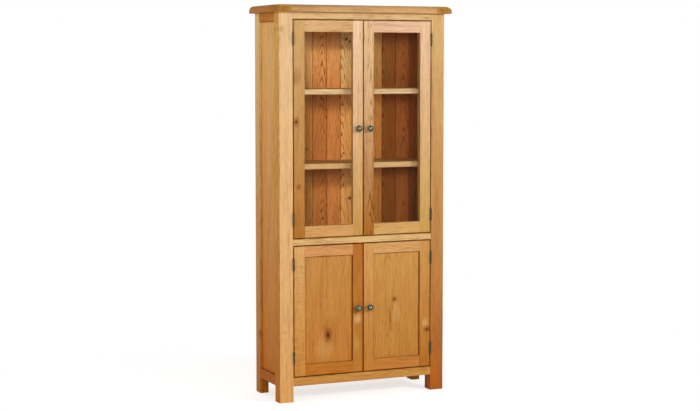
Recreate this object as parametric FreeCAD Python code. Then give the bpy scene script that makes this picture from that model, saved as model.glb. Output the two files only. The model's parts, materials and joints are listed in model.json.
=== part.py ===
import FreeCAD, Part
import math
import os

# Oak display cupboard: two glazed doors over two panelled doors, set flush between square posts.
# Lengths are in millimetres. X runs to the right, Y to the back and Z up.
# The origin lies on the floor, under the centre of the top.

# Overall size of the carcass and its top, whose two ends are cleats across the grain of its middle
total_height = 1800.0
carcass_width = 826.0
carcass_depth = 308.0
top_thickness = 34.0
top_side_overhang = 26.0
top_front_overhang = 26.0
top_rear_overhang = 3.0
top_upper_round = 24.0
top_lower_round = 5.0
top_upper_round_share = 0.72
top_lower_round_share = 0.2
top_end_width = 76.0
top_tongue_length = 12.0
top_tongue_thickness = 10.0
top_tongue_setback = 45.0

# Posts, which run to the floor as legs
leg_height = 73.0
front_post_width = 66.0
front_post_depth = 58.0
rear_post_width = 40.0
rear_post_depth = 58.0
post_corner_round = 3.0

# Rails between the front posts, flush with their front faces
front_bottom_rail_height = 39.0
front_middle_rail_height = 28.5
front_top_rail_height = 30.0
lower_opening_height = 604.0
rail_reach_behind_door = 2.0
front_tenon_length = 25.0
front_tenon_thickness = 8.0
front_tenon_shoulder = 5.0

# Sides: rails flush with the outer faces of the posts, and one long panel let into grooves
side_rail_thickness = 22.0
side_bottom_rail_height = 46.0
side_top_rail_height = 39.0
side_tenon_length = 25.0
side_tenon_thickness = 8.0
side_tenon_shoulder = 10.0
side_panel_recess = 11.0
side_panel_thickness = 8.0
side_groove_depth = 8.0

# Back: two rails with tongued and grooved boards nailed behind them, in rebates of the rear posts
rear_rail_thickness = 22.0
rear_bottom_rail_height = 39.0
rear_top_rail_height = 39.0
rear_tenon_length = 20.0
rear_tenon_thickness = 8.0
rear_tenon_shoulder = 8.0
back_board_pitch = 72.0
back_board_thickness = 12.0
back_board_least_width = 20.0
back_recess = 6.0
back_rebate_width = 10.0
back_joint_offset = 12.7
back_joint_chamfer = 1.6
tongue_length = 5.0
tongue_thickness = 4.0

# Floors and shelves, each notched round the posts and carried by a pair of bearers.
# A shelf's share is the height of its upper face in the opening that it divides.
floor_thickness = 18.0
floor_tongue_length = 6.0
floor_tongue_thickness = 8.0
shelf_thickness = 26.0
shelf_setback = 40.0
shelf_nose_round = 4.0
lower_shelf_share = 0.34
upper_shelf_share = 0.683
cupboard_shelf_share = 0.48
bearer_height = 20.0
bearer_thickness = 14.0
bearer_side_gap = 2.0
bearer_tenon_length = 10.0
bearer_tenon_thickness = 8.0
bearer_tenon_shoulder = 4.0

# Doors
door_thickness = 22.0
door_top_gap = 4.0
door_bottom_gap = 4.0
meeting_gap = 3.0
hinge_stile_width = 54.0
meeting_stile_width = 51.0
upper_door_bottom_rail_height = 53.5
upper_door_top_rail_height = 53.5
lower_door_bottom_rail_height = 54.5
lower_door_top_rail_height = 50.5
door_tenon_length = 30.0
door_tenon_thickness = 7.0
door_tenon_shoulder = 12.0

# Glazing of the upper doors
glass_thickness = 4.0
glass_lip = 10.0
glass_rebate_width = 8.0
bead_chamfer = 3.0

# Panels of the lower doors
door_panel_thickness = 8.0
door_panel_recess = 7.0
door_groove_depth = 9.0

# Lift-off butt hinges, each with a finial at both ends of its barrel
hinge_leaf_height = 50.0
hinge_leaf_depth = 18.0
hinge_leaf_thickness = 2.0
hinge_leaf_recess = 0.5
hinge_leaf_gap = 0.5
knuckle_radius = 4.0
knuckle_front_gap = 0.5
knuckle_end_gap = 0.3
finial_length = 6.5
finial_tip_radius = 2.2
hinge_pin_radius = 2.0
hinge_pin_end_wall = 3.0

# Knobs and their bolts
knob_diameter = 32.0
knob_projection = 25.0
knob_inset = 27.15
knob_base_diameter = 17.0
knob_neck_diameter = 12.0
knob_neck_length = 9.0
knob_flare_length = 6.0
knob_rim_thickness = 3.5
knob_ring_width = 3.5
knob_ring_rise = 1.5
knob_groove_width = 1.8
knob_groove_depth = 2.0
knob_bolt_radius = 2.0
knob_bolt_reach = 9.0
knob_bolt_head_radius = 4.5
knob_bolt_head_height = 2.5

# Magnetic catches on the middle floor, and their strike plates on the doors
catch_width = 30.0
catch_depth = 14.0
strike_width = 24.0
strike_height = 16.0
strike_thickness = 1.0
strike_edge_inset = 2.0
catch_gap = 0.4

# Clearances
mortise_end_gap = 1.0
panel_edge_gap = 1.0
board_clearance = 0.5
pin_running_clearance = 0.05
bolt_clearance = 0.25
cut_overrun = 1.0
same_place = 1e-6

# Main planes worked out from the sizes above
carcass_height = total_height - top_thickness
x_outer = -carcass_width / 2
x_post_inner = x_outer + front_post_width
x_rear_post_inner = x_outer + rear_post_width
x_side_inner = x_outer + side_rail_thickness
x_board_end = x_outer + max(side_rail_thickness, side_panel_recess + side_panel_thickness) + board_clearance
x_bearer_span = (x_side_inner + bearer_side_gap, x_side_inner + bearer_side_gap + bearer_thickness)
top_depth = top_front_overhang + carcass_depth + top_rear_overhang
y_front = top_front_overhang - top_depth / 2
y_rear = y_front + carcass_depth
y_front_post_rear = y_front + front_post_depth
y_rear_post_front = y_rear - rear_post_depth
y_rail_rear = y_front + door_thickness + rail_reach_behind_door
y_door_rear = y_front + door_thickness
y_back_inner = y_rear - back_recess - back_board_thickness
y_rear_rail_front = y_back_inner - rear_rail_thickness

z_bottom_rail_top = leg_height + front_bottom_rail_height
z_middle_rail = z_bottom_rail_top + lower_opening_height
z_middle_rail_top = z_middle_rail + front_middle_rail_height
z_top_rail = carcass_height - front_top_rail_height
display_height = z_top_rail - z_middle_rail_top
z_cupboard_shelf_top = z_bottom_rail_top + lower_opening_height * cupboard_shelf_share
z_lower_shelf_top = z_middle_rail_top + display_height * lower_shelf_share
z_upper_shelf_top = z_middle_rail_top + display_height * upper_shelf_share

# Places of repeated rails and carried boards, as pairs of bottom and top
front_rail_spans = {
    "front_bottom_rail": (leg_height, z_bottom_rail_top),
    "front_middle_rail": (z_middle_rail, z_middle_rail_top),
    "front_top_rail": (z_top_rail, carcass_height),
}
side_rail_spans = {
    "side_bottom_rail": (leg_height, leg_height + side_bottom_rail_height),
    "side_top_rail": (carcass_height - side_top_rail_height, carcass_height),
}
rear_rail_spans = {
    "rear_bottom_rail": (leg_height, leg_height + rear_bottom_rail_height),
    "rear_top_rail": (carcass_height - rear_top_rail_height, carcass_height),
}
floor_spans = {
    "bottom_floor": (z_bottom_rail_top - floor_thickness, z_bottom_rail_top),
    "middle_floor": (z_middle_rail_top - floor_thickness, z_middle_rail_top),
}
shelf_spans = {
    "cupboard_shelf": (z_cupboard_shelf_top - shelf_thickness, z_cupboard_shelf_top),
    "lower_display_shelf": (z_lower_shelf_top - shelf_thickness, z_lower_shelf_top),
    "upper_display_shelf": (z_upper_shelf_top - shelf_thickness, z_upper_shelf_top),
}
bearer_tops = [span[0] for span in list(floor_spans.values()) + list(shelf_spans.values())]

# The gap at the hinge side is what the two leaves, let into post and stile, leave open
hinge_gap = 2 * (hinge_leaf_thickness - hinge_leaf_recess) + hinge_leaf_gap
x_door_hinge_edge = x_post_inner + hinge_gap
x_door_meeting_edge = -meeting_gap / 2
x_hinge_axis = x_post_inner + hinge_gap / 2
y_hinge_axis = y_front - knuckle_front_gap - knuckle_radius
x_knob = x_door_meeting_edge - knob_inset


class DoorSize:
    """Bottom, top and rail heights of one pair of doors, and the opening inside the frame."""

    def __init__(self, bottom, top, bottom_rail, top_rail):
        self.bottom = bottom
        self.top = top
        self.x_sight = (x_door_hinge_edge + hinge_stile_width, x_door_meeting_edge - meeting_stile_width)
        self.z_sight = (bottom + bottom_rail, top - top_rail)
        self.bottom_rail_span = (bottom, bottom + bottom_rail)
        self.top_rail_span = (top - top_rail, top)
        self.hinge_bottoms = (
            self.z_sight[0] + finial_length,
            self.z_sight[1] - finial_length - hinge_leaf_height,
        )
        self.knob_z = (bottom + top) / 2


upper_door = DoorSize(
    z_middle_rail_top + door_bottom_gap,
    z_top_rail - door_top_gap,
    upper_door_bottom_rail_height,
    upper_door_top_rail_height,
)
lower_door = DoorSize(
    z_bottom_rail_top + door_bottom_gap,
    z_middle_rail - door_top_gap,
    lower_door_bottom_rail_height,
    lower_door_top_rail_height,
)


def block(x_span, y_span, z_span):
    """Rectangular block between the two ends of each span."""
    corner = FreeCAD.Vector(x_span[0], y_span[0], z_span[0])
    return Part.makeBox(x_span[1] - x_span[0], y_span[1] - y_span[0], z_span[1] - z_span[0], corner)


def cylinder_z(radius, x, y, z_span):
    """Upright cylinder."""
    return Part.makeCylinder(radius, z_span[1] - z_span[0], FreeCAD.Vector(x, y, z_span[0]))


def cylinder_y(radius, x, z, y_span):
    """Cylinder that runs from front to back."""
    start = FreeCAD.Vector(x, y_span[0], z)
    return Part.makeCylinder(radius, y_span[1] - y_span[0], start, FreeCAD.Vector(0, 1, 0))


def centred(middle, width):
    """Span of a given width about its middle."""
    return (middle - width / 2, middle + width / 2)


def inset(span, amount):
    """Span drawn in by the same amount at both ends."""
    return (span[0] + amount, span[1] - amount)


def mirrored(shape):
    """The same piece on the other side of the cupboard."""
    return shape.mirror(FreeCAD.Vector(0, 0, 0), FreeCAD.Vector(1, 0, 0))


def with_mirror(shapes):
    """The pieces given and their copies on the other side."""
    return shapes + [mirrored(shape) for shape in shapes]


def same(first, second):
    """Whether two places are the same."""
    return math.isclose(first, second, abs_tol=same_place)


def front_tenon(z_span, length, overrun):
    """Tenon at the left end of a front rail, with an overrun back into the rail."""
    return block(
        (x_post_inner - length, x_post_inner + overrun),
        centred((y_front + y_rail_rear) / 2, front_tenon_thickness),
        inset(z_span, front_tenon_shoulder),
    )


def side_tenons(z_span, length, overrun):
    """Tenons at the front and rear ends of a left side rail."""
    x_span = centred((x_outer + x_side_inner) / 2, side_tenon_thickness)
    height = inset(z_span, side_tenon_shoulder)
    front = block(x_span, (y_front_post_rear - length, y_front_post_rear + overrun), height)
    rear = block(x_span, (y_rear_post_front - overrun, y_rear_post_front + length), height)
    return [front, rear]


def rear_tenon(z_span, length, overrun):
    """Tenon at the left end of a rear rail."""
    return block(
        (x_rear_post_inner - length, x_rear_post_inner + overrun),
        centred((y_rear_rail_front + y_back_inner) / 2, rear_tenon_thickness),
        inset(z_span, rear_tenon_shoulder),
    )


def bearer_tenons(z_top, length, overrun):
    """Stub tenons at the front and rear ends of a left bearer."""
    x_span = centred((x_bearer_span[0] + x_bearer_span[1]) / 2, bearer_tenon_thickness)
    height = inset((z_top - bearer_height, z_top), bearer_tenon_shoulder)
    front = block(x_span, (y_front_post_rear - length, y_front_post_rear + overrun), height)
    rear = block(x_span, (y_rear_post_front - overrun, y_rear_post_front + length), height)
    return [front, rear]


def side_panel_block(reach):
    """The left side panel, reaching a given way into the posts and side rails."""
    x_panel = x_outer + side_panel_recess
    return block(
        (x_panel, x_panel + side_panel_thickness),
        inset((y_front_post_rear, y_rear_post_front), -reach),
        inset((side_rail_spans["side_bottom_rail"][1], side_rail_spans["side_top_rail"][0]), -reach),
    )


def hinge_recess(door, x_edge, direction):
    """Shallow recesses for the hinge leaves in the edge of a post or stile."""
    x_floor = x_edge + direction * hinge_leaf_recess
    x_open = x_edge - direction * cut_overrun
    x_span = (min(x_floor, x_open), max(x_floor, x_open))
    y_span = (y_front - cut_overrun, y_front + hinge_leaf_depth)
    return [block(x_span, y_span, (z, z + hinge_leaf_height)) for z in door.hinge_bottoms]


def rounded_post(x_span, y_span, y_rounded):
    """Square post from the floor to the top, with one outer corner eased."""
    post = block(x_span, y_span, (0, carcass_height))
    corner = [
        edge
        for edge in post.Edges
        if same(edge.CenterOfMass.x, x_outer) and same(edge.CenterOfMass.y, y_rounded)
    ]
    return post.makeFillet(post_corner_round, corner)


def front_post():
    """Left front post with its mortises, panel groove and hinge recesses."""
    post = rounded_post((x_outer, x_post_inner), (y_front, y_front_post_rear), y_front)
    cuts = [side_panel_block(side_groove_depth)]
    for span in front_rail_spans.values():
        cuts.append(front_tenon(span, front_tenon_length + mortise_end_gap, cut_overrun))
    for span in side_rail_spans.values():
        cuts.append(side_tenons(span, side_tenon_length + mortise_end_gap, cut_overrun)[0])
    for z_top in bearer_tops:
        cuts.append(bearer_tenons(z_top, bearer_tenon_length + mortise_end_gap, cut_overrun)[0])
    for door in (upper_door, lower_door):
        cuts.extend(hinge_recess(door, x_post_inner, -1))
    return post.cut(cuts)


def rear_post():
    """Left rear post with its mortises, panel groove and rebate for the back boards."""
    post = rounded_post((x_outer, x_rear_post_inner), (y_rear_post_front, y_rear), y_rear)
    rebate = block(
        (x_rear_post_inner - back_rebate_width, x_rear_post_inner + cut_overrun),
        (y_back_inner, y_rear + cut_overrun),
        (leg_height, carcass_height + cut_overrun),
    )
    cuts = [side_panel_block(side_groove_depth), rebate]
    for span in rear_rail_spans.values():
        cuts.append(rear_tenon(span, rear_tenon_length + mortise_end_gap, cut_overrun))
    for span in side_rail_spans.values():
        cuts.append(side_tenons(span, side_tenon_length + mortise_end_gap, cut_overrun)[1])
    for z_top in bearer_tops:
        cuts.append(bearer_tenons(z_top, bearer_tenon_length + mortise_end_gap, cut_overrun)[1])
    return post.cut(cuts)


def side_rail(z_span):
    """Left side rail, tenoned into both posts and grooved for the panel."""
    rail = block((x_outer, x_side_inner), (y_front_post_rear, y_rear_post_front), z_span)
    return rail.fuse(side_tenons(z_span, side_tenon_length, 0)).cut(side_panel_block(side_groove_depth))


def side_panel():
    """Left side panel, loose in its grooves so that the wood can move."""
    return side_panel_block(side_groove_depth - panel_edge_gap)


def floor_tongue(z_span, length):
    """Tongue along the front edge of a floor, let into the rail in front of it."""
    return block(
        inset((x_post_inner, -x_post_inner), board_clearance),
        (y_rail_rear - length, y_rail_rear + cut_overrun),
        centred((z_span[0] + z_span[1]) / 2, floor_tongue_thickness),
    )


def front_rail(name):
    """Front rail with a tenon at each end, grooved behind where a floor meets it."""
    z_span = front_rail_spans[name]
    rail = block((x_post_inner, -x_post_inner), (y_front, y_rail_rear), z_span)
    rail = rail.fuse(with_mirror([front_tenon(z_span, front_tenon_length, 0)]))
    floors = [span for span in floor_spans.values() if same(span[1], z_span[1])]
    for span in floors:
        rail = rail.cut(floor_tongue(span, floor_tongue_length + board_clearance))
    return rail


def rear_rail(z_span):
    """Rear rail with a tenon at each end."""
    rail = block((x_rear_post_inner, -x_rear_post_inner), (y_rear_rail_front, y_back_inner), z_span)
    return rail.fuse(with_mirror([rear_tenon(z_span, rear_tenon_length, 0)]))


def post_notches(z_span):
    """Room for the four posts at the corners of a floor or shelf."""
    height = inset(z_span, -cut_overrun)
    front = block(
        (x_outer, x_post_inner + board_clearance),
        (y_front, y_front_post_rear + board_clearance),
        height,
    )
    rear = block(
        (x_outer, x_rear_post_inner + board_clearance),
        (y_rear_post_front - board_clearance, y_rear),
        height,
    )
    return with_mirror([front, rear])


def carried_board(z_span, y_span):
    """Board between the sides, notched round the posts."""
    return block((x_board_end, -x_board_end), y_span, z_span).cut(post_notches(z_span))


def floor_board(name):
    """Floor of one cupboard, level with the rail in front of it."""
    z_span = floor_spans[name]
    ends_at_rear_rail = z_span[0] < rear_rail_spans["rear_bottom_rail"][1]
    y_end = y_rear_rail_front if ends_at_rear_rail else y_back_inner
    board = carried_board(z_span, (y_rail_rear, y_end))
    return board.fuse(floor_tongue(z_span, floor_tongue_length)).removeSplitter()


def shelf(z_span):
    """Shelf set back from the doors, with its front edges eased."""
    board = carried_board(z_span, (y_front + shelf_setback, y_back_inner))
    y_nose = min(edge.CenterOfMass.y for edge in board.Edges)
    nose = [
        edge
        for edge in board.Edges
        if same(edge.CenterOfMass.y, y_nose) and same(edge.CenterOfMass.x, 0)
    ]
    return board.makeFillet(shelf_nose_round, nose)


def bearer(z_top):
    """Left bearer under a floor or shelf, stub tenoned between the posts."""
    bar = block(x_bearer_span, (y_front_post_rear, y_rear_post_front), (z_top - bearer_height, z_top))
    return bar.fuse(bearer_tenons(z_top, bearer_tenon_length, 0))


def back_board(x_span, grooved, tongued):
    """One back board, grooved on its left edge and tongued on its right edge where it joins another."""
    left, right = x_span
    inner = y_back_inner
    outer = y_back_inner + back_board_thickness
    near, far = centred((inner + outer) / 2, tongue_thickness)
    groove_floor = left + tongue_length + board_clearance
    tip = right + tongue_length
    outline = [(left, inner)]
    if grooved:
        outline = [(left, outer), (left, far), (groove_floor, far), (groove_floor, near), (left, near)]
        outline += [(left, inner + back_joint_chamfer), (left + back_joint_chamfer, inner)]
    if tongued:
        outline += [(right - back_joint_chamfer, inner), (right, inner + back_joint_chamfer)]
        outline += [(right, near), (tip, near), (tip, far), (right, far)]
    else:
        outline.append((right, inner))
    outline.append((right, outer))
    if not grooved:
        outline.append((left, outer))
    points = [FreeCAD.Vector(x, y, leg_height) for x, y in outline]
    face = Part.Face(Part.makePolygon(points + points[:1]))
    return face.extrude(FreeCAD.Vector(0, 0, carcass_height - leg_height))


def back_boards():
    """Boards across the back, with their joints at an even pitch and the end boards cut to fit."""
    left = x_rear_post_inner - back_rebate_width + board_clearance
    right = -left
    first = math.ceil((left + back_board_least_width - back_joint_offset) / back_board_pitch)
    last = math.floor((right - back_board_least_width - back_joint_offset) / back_board_pitch)
    joints = [back_joint_offset + back_board_pitch * index for index in range(first, last + 1)]
    edges = [left] + joints + [right]
    boards = []
    for index in range(len(edges) - 1):
        grooved = index > 0
        tongued = index < len(edges) - 2
        boards.append(back_board((edges[index], edges[index + 1]), grooved, tongued))
    return boards


def top_tongue(length, end_gap):
    """Tongue at the left end of the middle of the top, stopped short of its front and rear edges."""
    x_joint = x_outer - top_side_overhang + top_end_width
    return block(
        (x_joint - length, x_joint + cut_overrun),
        inset((-top_depth / 2, top_depth / 2), top_tongue_setback - end_gap),
        centred((carcass_height + total_height) / 2, top_tongue_thickness),
    )


def top_board():
    """Top in three pieces, with its front and side edges rounded over and its rear edge square."""
    half_width = carcass_width / 2 + top_side_overhang
    y_back = top_depth / 2
    board = block((-half_width, half_width), (-y_back, y_back), (carcass_height, total_height))
    rounds = (
        (total_height, min(top_upper_round, top_thickness * top_upper_round_share)),
        (carcass_height, min(top_lower_round, top_thickness * top_lower_round_share)),
    )
    for z, radius in rounds:
        edges = [
            edge
            for edge in board.Edges
            if same(edge.CenterOfMass.z, z) and not same(edge.CenterOfMass.y, y_back)
        ]
        board = board.makeFillet(radius, edges)
    room = block(
        (-half_width, top_end_width - half_width),
        (-y_back, y_back),
        (carcass_height, total_height),
    )
    left_end = board.common(room).cut(top_tongue(top_tongue_length + mortise_end_gap, mortise_end_gap))
    middle = board.cut(with_mirror([room])).fuse(with_mirror([top_tongue(top_tongue_length, 0)]))
    return [middle.removeSplitter()] + with_mirror([left_end])


def door_tenons(door, z_span, length, overrun):
    """Tenons at the hinge end and the meeting end of a door rail."""
    y_span = centred((y_front + y_door_rear) / 2, door_tenon_thickness)
    height = inset(z_span, door_tenon_shoulder)
    x_left, x_right = door.x_sight
    hinge_end = block((x_left - length, x_left + overrun), y_span, height)
    meeting_end = block((x_right - overrun, x_right + length), y_span, height)
    return [hinge_end, meeting_end]


def infill(door, reach, y_span):
    """Plate across the opening of a door, reaching a given way into the frame."""
    return block(inset(door.x_sight, -reach), y_span, inset(door.z_sight, -reach))


def frame_recess(door):
    """Rebate for the glass of an upper door, or groove for the panel of a lower door."""
    if door is upper_door:
        return infill(door, glass_rebate_width, (y_front + glass_lip, y_door_rear + cut_overrun))
    y_panel = y_front + door_panel_recess
    return infill(door, door_groove_depth, (y_panel, y_panel + door_panel_thickness))


def door_mortises(door, end):
    """Mortises for both rails of a door at one end of them."""
    spans = (door.bottom_rail_span, door.top_rail_span)
    length = door_tenon_length + mortise_end_gap
    return [door_tenons(door, span, length, cut_overrun)[end] for span in spans]


def hinge_stile(door):
    """Stile that carries the hinges."""
    stile = block((x_door_hinge_edge, door.x_sight[0]), (y_front, y_door_rear), (door.bottom, door.top))
    recesses = hinge_recess(door, x_door_hinge_edge, 1)
    return stile.cut(door_mortises(door, 0) + recesses + [frame_recess(door)])


def meeting_stile(door):
    """Stile that carries the knob."""
    stile = block((door.x_sight[1], x_door_meeting_edge), (y_front, y_door_rear), (door.bottom, door.top))
    hole = cylinder_y(
        knob_bolt_radius + bolt_clearance,
        x_knob,
        door.knob_z,
        inset((y_front, y_door_rear), -cut_overrun),
    )
    return stile.cut(door_mortises(door, 1) + [frame_recess(door), hole])


def door_rail(door, z_span):
    """Rail between the stiles of a door."""
    rail = block(door.x_sight, (y_front, y_door_rear), z_span)
    return rail.fuse(door_tenons(door, z_span, door_tenon_length, 0)).cut(frame_recess(door))


def glass_pane():
    """Pane against the front lip of its rebate."""
    y_glass = y_front + glass_lip
    return infill(upper_door, glass_rebate_width - panel_edge_gap, (y_glass, y_glass + glass_thickness))


def door_panel():
    """Flat panel, loose in its grooves."""
    y_panel = y_front + door_panel_recess
    reach = door_groove_depth - panel_edge_gap
    return infill(lower_door, reach, (y_panel, y_panel + door_panel_thickness))


def glazing_beads():
    """Four mitred beads behind the glass, each with its inner rear edge chamfered."""
    y_start = y_front + glass_lip + glass_thickness
    depth = FreeCAD.Vector(0, y_door_rear - y_start, 0)
    inner = corner_points(upper_door.x_sight, upper_door.z_sight, y_start)
    outer = corner_points(
        inset(upper_door.x_sight, -glass_rebate_width),
        inset(upper_door.z_sight, -glass_rebate_width),
        y_start,
    )
    beads = []
    for index in range(len(inner)):
        following = (index + 1) % len(inner)
        outline = [inner[index], inner[following], outer[following], outer[index], inner[index]]
        bead = Part.Face(Part.makePolygon(outline)).extrude(depth)
        middle = (inner[index] + inner[following]) / 2 + depth
        edge = [edge for edge in bead.Edges if edge.CenterOfMass.distanceToPoint(middle) < same_place]
        beads.append(bead.makeChamfer(bead_chamfer, edge))
    return beads


def corner_points(x_span, z_span, y):
    """Corners of an upright rectangle, in order round it."""
    corners = [
        (x_span[0], z_span[0]),
        (x_span[1], z_span[0]),
        (x_span[1], z_span[1]),
        (x_span[0], z_span[1]),
    ]
    return [FreeCAD.Vector(x, y, z) for x, z in corners]


def hinge_leaf(z_leaf, x_plate, knuckle_span, finial_up, bore_span, bore_radius):
    """Leaf of a hinge: a plate in its recess, and one knuckle that ends in a finial."""
    leaf = block(x_plate, (y_front, y_front + hinge_leaf_depth), (z_leaf, z_leaf + hinge_leaf_height))
    neck = block(x_plate, (y_hinge_axis, y_front), knuckle_span)
    knuckle = cylinder_z(knuckle_radius, x_hinge_axis, y_hinge_axis, knuckle_span)
    z_finial = knuckle_span[1] if finial_up else knuckle_span[0]
    finial = Part.makeCone(
        knuckle_radius,
        finial_tip_radius,
        finial_length,
        FreeCAD.Vector(x_hinge_axis, y_hinge_axis, z_finial),
        FreeCAD.Vector(0, 0, 1 if finial_up else -1),
    )
    bore = cylinder_z(bore_radius, x_hinge_axis, y_hinge_axis, bore_span)
    return leaf.fuse([neck, knuckle, finial]).cut(bore).removeSplitter()


def knuckle_length():
    """Length of each of the two knuckles of a hinge."""
    return (hinge_leaf_height - knuckle_end_gap) / 2


def pin_span(z_leaf):
    """Bottom and top of a hinge pin."""
    return inset((z_leaf, z_leaf + hinge_leaf_height), hinge_pin_end_wall)


def frame_leaf(z_leaf):
    """Leaf let into the left front post, with the lower knuckle that holds the pin."""
    x_far = x_post_inner - hinge_leaf_recess
    knuckle = (z_leaf, z_leaf + knuckle_length())
    bore = (pin_span(z_leaf)[0], knuckle[1] + cut_overrun)
    return hinge_leaf(z_leaf, (x_far, x_far + hinge_leaf_thickness), knuckle, False, bore, hinge_pin_radius)


def door_leaf(z_leaf):
    """Leaf let into the hinge stile, with the upper knuckle that turns on the pin."""
    x_far = x_door_hinge_edge + hinge_leaf_recess
    knuckle = (z_leaf + hinge_leaf_height - knuckle_length(), z_leaf + hinge_leaf_height)
    bore = (knuckle[0] - cut_overrun, pin_span(z_leaf)[1] + knuckle_end_gap)
    bore_radius = hinge_pin_radius + pin_running_clearance
    return hinge_leaf(z_leaf, (x_far - hinge_leaf_thickness, x_far), knuckle, True, bore, bore_radius)


def hinge_pin(z_leaf):
    """Pin pressed into the lower knuckle of a hinge."""
    return cylinder_z(hinge_pin_radius, x_hinge_axis, y_hinge_axis, pin_span(z_leaf))


def knob(door):
    """Turned knob: a neck that flares to a rim, a ring and groove in front, and a domed button."""
    neck = knob_neck_diameter / 2
    rim = knob_diameter / 2
    ring_inner = rim - knob_ring_width
    button = ring_inner - knob_groove_width
    rim_back = knob_neck_length + knob_flare_length
    rim_front = rim_back + knob_rim_thickness
    ring_front = rim_front + knob_ring_rise
    groove_floor = ring_front - knob_groove_depth
    dome_height = knob_projection - groove_floor
    dome_radius = (button**2 + dome_height**2) / (2 * dome_height)
    dome_angle = math.asin(button / dome_radius) / 2
    dome_centre = knob_projection - dome_radius

    def place(radius, forward):
        return FreeCAD.Vector(x_knob + radius, y_front - forward, door.knob_z)

    outline = [
        place(0, knob_projection),
        place(0, knob_bolt_reach),
        place(knob_bolt_radius, knob_bolt_reach),
        place(knob_bolt_radius, 0),
        place(knob_base_diameter / 2, 0),
        place(neck, knob_neck_length),
        place(rim, rim_back),
        place(rim, rim_front),
        place(ring_inner, ring_front),
        place(button, groove_floor),
    ]
    dome_side = place(dome_radius * math.sin(dome_angle), dome_centre + dome_radius * math.cos(dome_angle))
    dome = Part.Arc(outline[-1], dome_side, outline[0]).toShape()
    profile = Part.Face(Part.Wire(Part.makePolygon(outline).Edges + [dome]))
    return profile.revolve(FreeCAD.Vector(x_knob, y_front, door.knob_z), FreeCAD.Vector(0, 1, 0), 360)


def knob_bolt(door):
    """Bolt from the back of the meeting stile into the knob."""
    shank = cylinder_y(knob_bolt_radius, x_knob, door.knob_z, (y_front - knob_bolt_reach, y_door_rear))
    head_span = (y_door_rear, y_door_rear + knob_bolt_head_height)
    head = cylinder_y(knob_bolt_head_radius, x_knob, door.knob_z, head_span)
    return shank.fuse(head)


def catch_spans(door):
    """Heights of a strike plate and of the floor face that its catch is screwed to."""
    if door is upper_door:
        edge = door.bottom + strike_edge_inset
        return (edge, edge + strike_height), z_middle_rail_top
    edge = door.top - strike_edge_inset
    return (edge - strike_height, edge), floor_spans["middle_floor"][0]


def strike_plate(door):
    """Steel plate on the back of the meeting stile, for the magnet to hold."""
    z_span, _ = catch_spans(door)
    return block(centred(x_knob, strike_width), (y_door_rear, y_door_rear + strike_thickness), z_span)


def catch(door):
    """Magnetic catch on the middle floor, with its pole piece close to the strike plate."""
    z_span, z_seat = catch_spans(door)
    heights = (min(z_seat, z_span[0]), max(z_seat, z_span[1]))
    body = block(centred(x_knob, catch_width), (y_rail_rear, y_rail_rear + catch_depth), heights)
    y_pole = y_door_rear + strike_thickness + catch_gap
    pole = block(centred(x_knob, strike_width), (y_pole, y_rail_rear + cut_overrun), z_span)
    return body.fuse(pole).removeSplitter()


def door_pieces(door):
    """Pieces of one left door by name, each a list of solids."""
    pieces = {
        "hinge_stile": [hinge_stile(door)],
        "meeting_stile": [meeting_stile(door)],
        "bottom_rail": [door_rail(door, door.bottom_rail_span)],
        "top_rail": [door_rail(door, door.top_rail_span)],
        "knob": [knob(door)],
        "fittings": [knob_bolt(door), strike_plate(door)],
        "hinge_leaves": [door_leaf(z_leaf) for z_leaf in door.hinge_bottoms],
    }
    if door is upper_door:
        pieces["glass"] = [glass_pane()]
        pieces["glazing_beads"] = glazing_beads()
    else:
        pieces["panel"] = [door_panel()]
    return pieces


def carcass_pieces():
    """Pieces of the carcass by name, each a list of solids."""
    hinge_bottoms = lower_door.hinge_bottoms + upper_door.hinge_bottoms
    pieces = {
        "top_board": top_board(),
        "back_boards": back_boards(),
        "shelf_bearers": with_mirror([bearer(z_top) for z_top in bearer_tops]),
        "magnetic_catches": with_mirror([catch(upper_door), catch(lower_door)]),
        "hinge_frame_leaves": with_mirror([frame_leaf(z_leaf) for z_leaf in hinge_bottoms]),
        "hinge_pins": with_mirror([hinge_pin(z_leaf) for z_leaf in hinge_bottoms]),
    }
    for name in front_rail_spans:
        pieces[name] = [front_rail(name)]
    for name, span in rear_rail_spans.items():
        pieces[name] = [rear_rail(span)]
    for name in floor_spans:
        pieces[name] = [floor_board(name)]
    for name, span in shelf_spans.items():
        pieces[name] = [shelf(span)]
    sides = {"front_post": front_post(), "rear_post": rear_post(), "side_panel": side_panel()}
    for name, span in side_rail_spans.items():
        sides[name] = side_rail(span)
    for name, shape in sides.items():
        pieces[name + "_left"] = [shape]
        pieces[name + "_right"] = [mirrored(shape)]
    return pieces


def save(name, solids):
    """One file for each piece, or for each group of like pieces."""
    shape = solids[0] if len(solids) == 1 else Part.makeCompound(solids)
    shape.exportStep(os.path.join("parts", name + ".step"))


os.makedirs("parts", exist_ok=True)
for piece, solids in carcass_pieces().items():
    save(piece, solids)
for level, door in (("upper", upper_door), ("lower", lower_door)):
    for piece, solids in door_pieces(door).items():
        save(level + "_left_door_" + piece, solids)
        save(level + "_right_door_" + piece, [mirrored(solid) for solid in solids])
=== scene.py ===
import json
import math

import bmesh
import bpy
from mathutils import Euler, Matrix, Vector


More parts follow.
